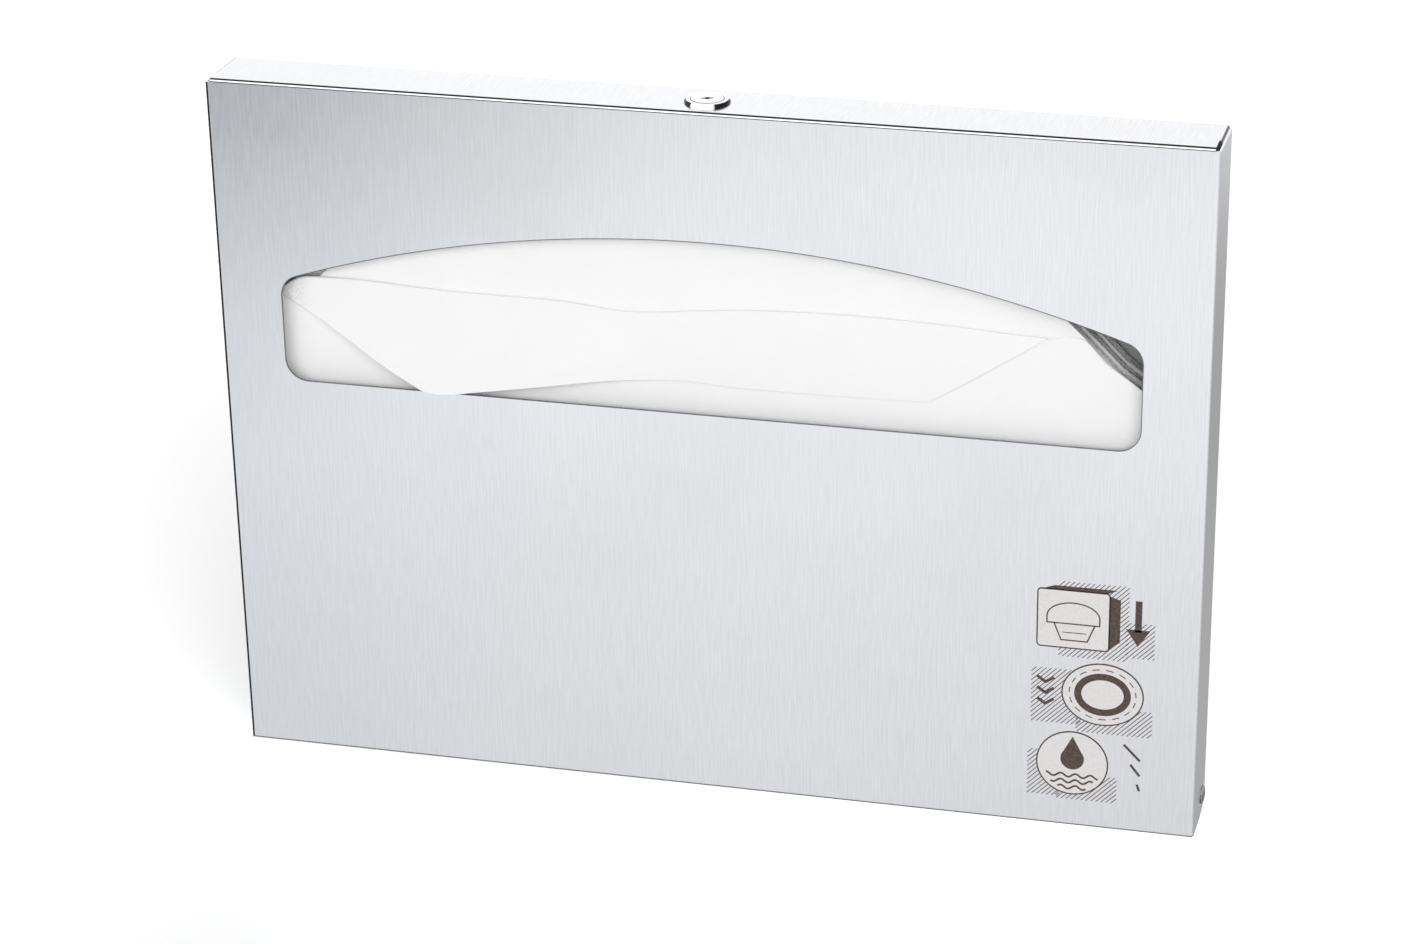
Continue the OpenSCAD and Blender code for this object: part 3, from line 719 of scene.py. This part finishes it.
class Print:
    """Flat shapes on the cover's front, gathered into one thin mesh."""

    def __init__(self, lift):
        self.y = FRONT_Y / MM - lift
        self.points, self.faces = [], []

    def fill(self, outline):
        """One flat face."""
        base = len(self.points)
        self.points += [(x * MM, self.y * MM, z * MM + FLOOR_Z) for x, z in outline]
        self.faces.append(tuple(range(base, base + len(outline))))

    def line(self, path, width=LINE, closed=False):
        """A band along a path, mitred at its corners."""
        count = len(path)
        pairs = count if closed else count - 1
        left, right = [], []
        for i, (x, z) in enumerate(path):
            before = path[i - 1] if closed or i > 0 else path[i]
            after = path[(i + 1) % count] if closed or i < count - 1 else path[i]
            first = Vector((x - before[0], z - before[1]))
            second = Vector((after[0] - x, after[1] - z))
            first = first.normalized() if first.length > 0 else second.normalized()
            second = second.normalized() if second.length > 0 else first
            middle = (first + second).normalized()
            reach = width / 2 / max(SHARP, middle.dot(first))
            left.append((x - middle.y * reach, z + middle.x * reach))
            right.append((x + middle.y * reach, z - middle.x * reach))
        for i in range(pairs):
            j = (i + 1) % count
            self.fill([left[i], left[j], right[j], right[i]])

    def finish(self, name, material, slot):
        """Makes the piece, which rides on the cover."""
        piece = new_piece(name, self.points, self.faces, material, "cover")
        thicken(piece, PRINT_T)


def arc(cx, cz, rx, rz, start, end, steps):
    """Points on an elliptic arc between two angles in degrees."""
    turns = [math.radians(lerp(start, end, i / steps)) for i in range(steps + 1)]
    return [(cx + rx * math.cos(turn), cz + rz * math.sin(turn)) for turn in turns]


def round_box(x0, z0, x1, z1, r):
    """Outline of a box with round corners."""
    return (arc(x1 - r, z1 - r, r, r, 0, 90, 6) + arc(x0 + r, z1 - r, r, r, 90, 180, 6)
            + arc(x0 + r, z0 + r, r, r, 180, 270, 6) + arc(x1 - r, z0 + r, r, r, 270, 360, 6))


def hatch(target, x0, z0, x1, z1):
    """Slanted lines that fill a box."""
    tall = z1 - z0
    count = int((x1 - x0 + tall) / HATCH_GAP)
    for k in range(1, count + 1):
        start = x0 - tall + k * HATCH_GAP
        low = (max(start, x0), z0 + max(0.0, x0 - start))
        high = (min(start + tall, x1), z0 + min(tall, x1 - start))
        if high[0] - low[0] > HATCH_LEAST:
            target.line([low, high], HATCH_W)


def picture():
    """Own generic instructions: take one, lay it down, wash your hands."""
    pale, dark, over = Print(2.5 * PRINT_LIFT), Print(PRINT_LIFT), Print(3 * PRINT_LIFT)
    for box in HATCHED:
        hatch(dark, *box)
    # Top: box with a sheet coming out, and an arrow down
    pale.fill(round_box(141, 82, 171, 108, 1.6))
    over.line(round_box(141, 82, 171, 108, 1.6), closed=True)
    over.fill([(171, 83), (175.5, 86.5), (175.5, 105.5), (171, 107)])
    over.fill([(143, 108), (170, 108), (174, 109.8), (148, 109.8)])
    over.line(arc(156, 96, 11, 6.5, 0, 180, 20) + [(145, 93), (167, 93)], closed=True)
    over.line([(148, 93), (151, 85.5), (162, 85.5), (165, 93)])
    over.line([(151.5, 89), (161.5, 89)], 0.4)
    over.line([(183, 106), (183, 92)], 2.8)
    over.fill([(178, 93), (183, 85.5), (188, 93)])
    # Middle: sheet with its oval cut, laid on a ring
    pale.fill(arc(169, 62, 17.0, 14.0, 0, 360, 48)[:-1])
    over.line(arc(169, 62, 17.0, 14.0, 0, 360, 48)[:-1], closed=True)
    over.line(arc(169, 62, 10.4, 8.2, 0, 360, 40)[:-1], 3.0, closed=True)
    for turn in range(0, 360, 24):
        over.line(arc(169, 62, 14.0, 11.4, turn, turn + 13, 4), 0.45)
    for k in range(3):
        tip = 55.5 + 5.0 * k
        over.line([(141.5, tip + 2.4), (145, tip), (148.5, tip + 2.4)], 1.3)
    # Bottom: drop over waves
    pale.fill(arc(157, 29, 15.0, 14.5, 0, 360, 48)[:-1])
    over.line(arc(157, 29, 15.0, 14.5, 0, 360, 48)[:-1], closed=True)
    over.fill(arc(157, 31, 5.0, 5.0, 140, 400, 26) + [(157, 41.4)])
    for k, reach in enumerate((11, 9, 6)):
        over.line([(157 + i * 0.5, 23.2 - 2.8 * k + 0.8 * math.sin(i * 0.5))
                   for i in range(-2 * reach, 2 * reach + 1)], 0.85)
    for side in range(3):
        over.line([(178.5 + 3 * side, 40 - 9 * side), (185.5, 33.0 - 9 * side + 2 * side)], 1.0)
    pale.finish("picture_ground", PALE_INK, "cover_steel")
    dark.finish("picture_hatching", INK, "cover_steel")
    over.finish("picture_lines", INK, "cover_steel")


# Stage, light and camera

FLOOR_SIZE = 40.0
FLOOR_DROP = 0.2 * MM
# How much brighter than its lit white the camera sees the floor: near the object, and per metre
FLOOR_GAIN = 1.42
FLOOR_GAIN_RISE = 2.2
GAIN_OFFSET = (0.15, 0.125, 0.0)
GAIN_SCALE = (1.0, 0.5, 1.0)


def floor():
    """Pale floor: white to the camera, with the object's shadow, and open to mirrored rays."""
    material, tree, shader = new_material("floor_white")
    tree.nodes.remove(shader)
    path = add(tree, "ShaderNodeLightPath")
    plain = add(tree, "ShaderNodeBsdfDiffuse", {"Color": grey(0.82)})
    reach = add(tree, "ShaderNodeMapping", {
        "Vector": object_place(tree), "Location": GAIN_OFFSET, "Scale": GAIN_SCALE}).outputs[0]
    away = vector_node(tree, "LENGTH", {0: reach}).outputs["Value"]
    gain = plus(tree, FLOOR_GAIN, times(tree, away, FLOOR_GAIN_RISE))
    bright = add(tree, "ShaderNodeBsdfDiffuse", {"Color": gain})
    clear = add(tree, "ShaderNodeBsdfTransparent")
    seen = add(tree, "ShaderNodeMixShader", {0: path.outputs["Is Camera Ray"],
                                             1: plain.outputs[0], 2: bright.outputs[0]})
    mixed = add(tree, "ShaderNodeMixShader", {0: path.outputs["Is Glossy Ray"],
                                              1: seen.outputs[0], 2: clear.outputs[0]})
    tree.links.new(mixed.outputs[0], tree.nodes["Material Output"].inputs["Surface"])
    bpy.ops.mesh.primitive_plane_add(size=FLOOR_SIZE, location=(0.0, 0.0, FLOOR_Z - FLOOR_DROP))
    plane = bpy.context.object
    plane.name = "floor"
    plane.data.materials.append(material)


# Light from all round, and the levels that metal mirrors. In front and behind, by the height of
# the direction (-1 down, 1 up)
WORLD_LEVEL = 0.34
MIRROR_TOP = 1.6
MIRROR_FRONT = [(-1.0, 0.60), (-0.62, 0.60), (-0.54, 0.80), (-0.46, 0.92), (-0.43, 0.94),
                (-0.41, 0.94), (-0.39, 1.05), (-0.37, 1.27), (-0.345, 1.21), (-0.30, 1.05),
                (-0.20, 1.02), (0.0, 1.0), (0.20, 1.0), (0.28, 1.6), (0.80, 1.6), (0.93, 1.3),
                (1.0, 1.0)]
MIRROR_BACK = [(-1.0, 0.46), (-0.43, 0.45), (-0.41, 0.44), (-0.38, 0.41), (-0.35, 0.41),
               (-0.33, 0.50), (-0.29, 0.80), (-0.10, 1.0), (0.05, 1.0), (0.20, 1.12),
               (0.40, 1.12), (0.60, 1.08), (1.0, 1.0)]
# By the direction's X (-1 left, 1 right): the share taken away, and the front's level
LEFT_SHADE = [(-1.0, 0.0), (-0.62, 0.0), (-0.52, 0.35), (-0.44, 0.70), (-0.40, 0.94),
              (-0.375, 0.94), (-0.357, 0.83), (-0.343, 0.64), (-0.329, 0.41), (-0.314, 0.28),
              (-0.300, 0.19), (-0.286, 0.13), (-0.243, 0.06), (-0.12, 0.0), (1.0, 0.0)]
RIGHT_LEVEL = [(-1.0, 1.0), (-0.21, 1.0), (-0.165, 0.965), (-0.12, 0.915), (-0.05, 0.915),
               (0.15, 1.0), (0.30, 1.0), (0.55, 0.90), (0.80, 0.80), (1.0, 0.80)]
COOL = (0.93, 0.965, 1.0, 1.0)


def mirrored_level(tree):
    """Brightness and tone of what metal mirrors, by direction: a bright studio, darker left."""
    x, y, z = parts_of(tree, add(tree, "ShaderNodeTexCoord").outputs["Generated"])
    # How far a direction is behind the object, with a softer change low down
    sharp = smooth_ramp(tree, y, -0.05, 0.15, 0.0, 1.0)
    soft = smooth_ramp(tree, y, -0.50, 0.55, 0.0, 1.0)
    upper = smooth_ramp(tree, z, -0.15, 0.05, 0.0, 1.0)
    behind = plus(tree, times(tree, sharp, upper), times(tree, soft, less(tree, upper)))
    before = less(tree, behind)
    front = times(tree, profile(tree, z, MIRROR_FRONT, MIRROR_TOP),
                  profile(tree, x, RIGHT_LEVEL, 1.0))
    back = times(tree, profile(tree, z, MIRROR_BACK, MIRROR_TOP),
                 smooth_ramp(tree, x, -0.45, -0.15, 1.12, 1.0))
    level = plus(tree, times(tree, back, behind), times(tree, front, before))
    # Darker to the left: most at mid height, little low down and not at all high up
    high = smooth_ramp(tree, z, -0.36, -0.28, 0.20, 1.0)
    low = less(tree, smooth_ramp(tree, z, 0.10, 0.30, 0.0, 1.0))
    left = profile(tree, x, LEFT_SHADE, 1.0)
    level = times(tree, level, less(tree, times(tree, times(tree, left, high), low)))
    cool = times(tree, smooth_ramp(tree, x, -0.40, -0.20, 1.0, 0.0), before)
    return level, mix_colour(tree, cool, WHITE, COOL)


def world():
    """Even white surroundings; metal mirrors a studio that is darker to the left."""
    scene_world = bpy.data.worlds.new("studio")
    bpy.context.scene.world = scene_world
    scene_world.use_nodes = True
    tree = scene_world.node_tree
    tree.nodes.clear()
    path = add(tree, "ShaderNodeLightPath")
    glossy = larger(tree, path.outputs["Is Glossy Ray"], path.outputs["Is Transmission Ray"])
    plain = add(tree, "ShaderNodeBackground", {"Color": WHITE, "Strength": WORLD_LEVEL})
    seen = add(tree, "ShaderNodeBackground", {"Color": WHITE, "Strength": 1.0})
    level, tone = mirrored_level(tree)
    mirrored = add(tree, "ShaderNodeBackground", {"Color": tone, "Strength": level})
    first = add(tree, "ShaderNodeMixShader", {0: path.outputs["Is Camera Ray"],
                                              1: plain.outputs[0], 2: seen.outputs[0]})
    last = add(tree, "ShaderNodeMixShader", {0: glossy, 1: first.outputs[0],
                                             2: mirrored.outputs[0]})
    out = add(tree, "ShaderNodeOutputWorld")
    tree.links.new(last.outputs[0], out.inputs["Surface"])


def area_light(name, place, size, power):
    """Soft lamp that points at the frame's origin and isn't mirrored itself."""
    data = bpy.data.lights.new(name, "AREA")
    data.shape = "RECTANGLE"
    data.size, data.size_y = size
    data.energy = power
    lamp = bpy.data.objects.new(name, data)
    lamp.location = place
    lamp.rotation_euler = (-Vector(place)).to_track_quat("-Z", "Y").to_euler()
    lamp.visible_glossy = False
    bpy.context.scene.collection.objects.link(lamp)


# Camera: where the photograph was taken from, in metres, degrees and pixels
CAMERA_PLACE = (0.395627, -1.468865, 0.626185)
CAMERA_YAW = 13.81
CAMERA_PITCH = -25.02
CAMERA_ROLL = -0.364
FOCAL_PX = 3907.6
CENTRE_PX = (804.3, 615.24)
IMAGE_PX = (1419.0, 944.0)
SENSOR = 36.0
CLIP_START, CLIP_END = 0.05, 100.0


def camera():
    """The photograph's camera, with its framing as lens shift."""
    data = bpy.data.cameras.new("photo_camera")
    data.sensor_width = SENSOR
    data.lens = FOCAL_PX / IMAGE_PX[0] * SENSOR
    data.shift_x = 0.5 - CENTRE_PX[0] / IMAGE_PX[0]
    data.shift_y = (CENTRE_PX[1] - IMAGE_PX[1] / 2) / IMAGE_PX[0]
    data.clip_start, data.clip_end = CLIP_START, CLIP_END
    made = bpy.data.objects.new("photo_camera", data)
    turn = (Matrix.Rotation(math.radians(CAMERA_YAW), 4, "Z")
            @ Matrix.Rotation(math.radians(90.0 + CAMERA_PITCH), 4, "X")
            @ Matrix.Rotation(math.radians(CAMERA_ROLL), 4, "Z"))
    made.matrix_world = Matrix.Translation(CAMERA_PLACE) @ turn
    bpy.context.scene.collection.objects.link(made)
    bpy.context.scene.camera = made


camera()
dress_cad_nodes()
drawn_sheet()
paper_stack()
edge_lines_painted_shade()
picture()
floor()
world()
area_light("key", (-0.60, -2.35, 0.75), (2.6, 1.2), 25.5)
area_light("fill", (1.2, -2.0, 1.1), (1.4, 1.4), 20.5)
bpy.context.scene.view_settings.view_transform = "Standard"
